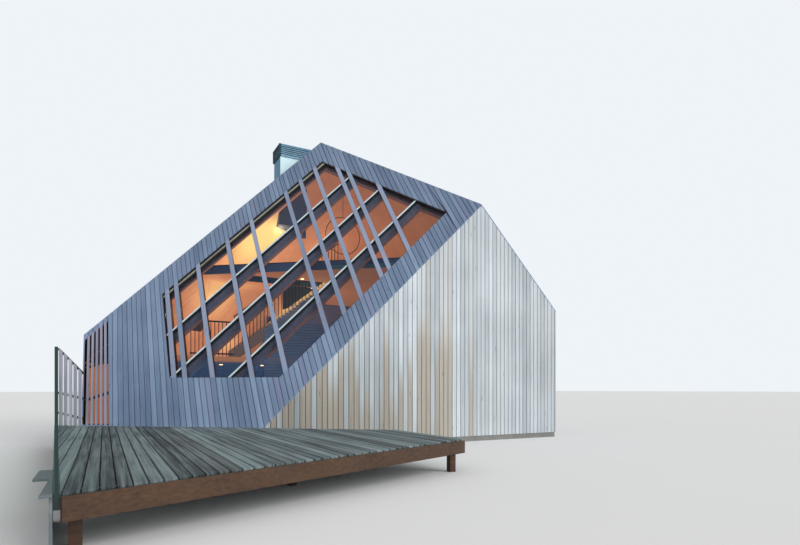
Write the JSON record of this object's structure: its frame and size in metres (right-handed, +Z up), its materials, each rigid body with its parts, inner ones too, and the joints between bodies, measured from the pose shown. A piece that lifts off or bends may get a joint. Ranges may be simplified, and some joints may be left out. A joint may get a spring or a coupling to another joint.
{
  "type": "beach house",
  "caption": "Polygonal timber-clad dune house with one large slanting glazed opening, open slats, a chimney and a raised plank deck with a fence and a windscreen.",
  "frame": {"origin": "the point on the ground under the roof's apex, on the underside of the foundation", "axes": "+Z up, +X along the gable walls towards the eaves wall, +Y away from the deck"},
  "size_m": [14.0999, 17.7992, 10.36],
  "materials": {
    "concrete": "matt",
    "structure": "matt",
    "warm_wood": "satin",
    "slope_boards": "weathered matt",
    "gable_boards": "weathered matt",
    "dark_beam": "stained satin",
    "glass": "clear",
    "screen_glass": "clear",
    "pale_metal": "satin",
    "dark_metal": "satin",
    "dark_edge": "satin",
    "cap_mesh": "matt",
    "deck_boards": "weathered matt",
    "deck_frame": "rough sawn"
  },
  "bodies": {
    "root": {"plinth": "concrete", "ground_floor": "warm_wood", "front_slope": "structure", "rear_slope": "structure", "right_slope": "structure", "front_gable_wall": "structure", "rear_gable_wall": "structure", "eaves_wall": "structure", "end_wall": "structure", "front_slope_cladding": "slope_boards", "rear_slope_cladding": "slope_boards", "right_slope_cladding": "slope_boards", "end_cladding": "slope_boards", "front_gable_cladding": "gable_boards", "rear_gable_cladding": "gable_boards", "eaves_cladding": "gable_boards", "window_lining": "dark_beam", "window_head": "pale_metal", "window_glass": "glass", "glazing_beams": "dark_beam", "glazing_caps": "pale_metal", "window_boards": "slope_boards", "front_screen_slats": "slope_boards", "front_screen_rails": "dark_metal", "front_screen_glass": "glass", "rear_screen_slats": "slope_boards", "rear_screen_rails": "dark_metal", "rear_screen_glass": "glass", "side_fence": "slope_boards", "windscreen_glass": "screen_glass", "windscreen_shoe": "dark_metal", "deck_boards": "deck_boards", "deck_joists": "deck_frame", "deck_posts": "deck_frame", "deck_fascia": "deck_frame", "side_step": "deck_boards", "mid_floor": "warm_wood", "mid_balustrade": "dark_metal", "upper_floor": "dark_edge", "stair_flight": "warm_wood", "stair_balustrade": "dark_metal", "chimney_stack": "pale_metal", "chimney_cap": "cap_mesh", "chimney_louvres": "cap_mesh", "chimney_flue": "pale_metal"}
  },
  "joints": []
}
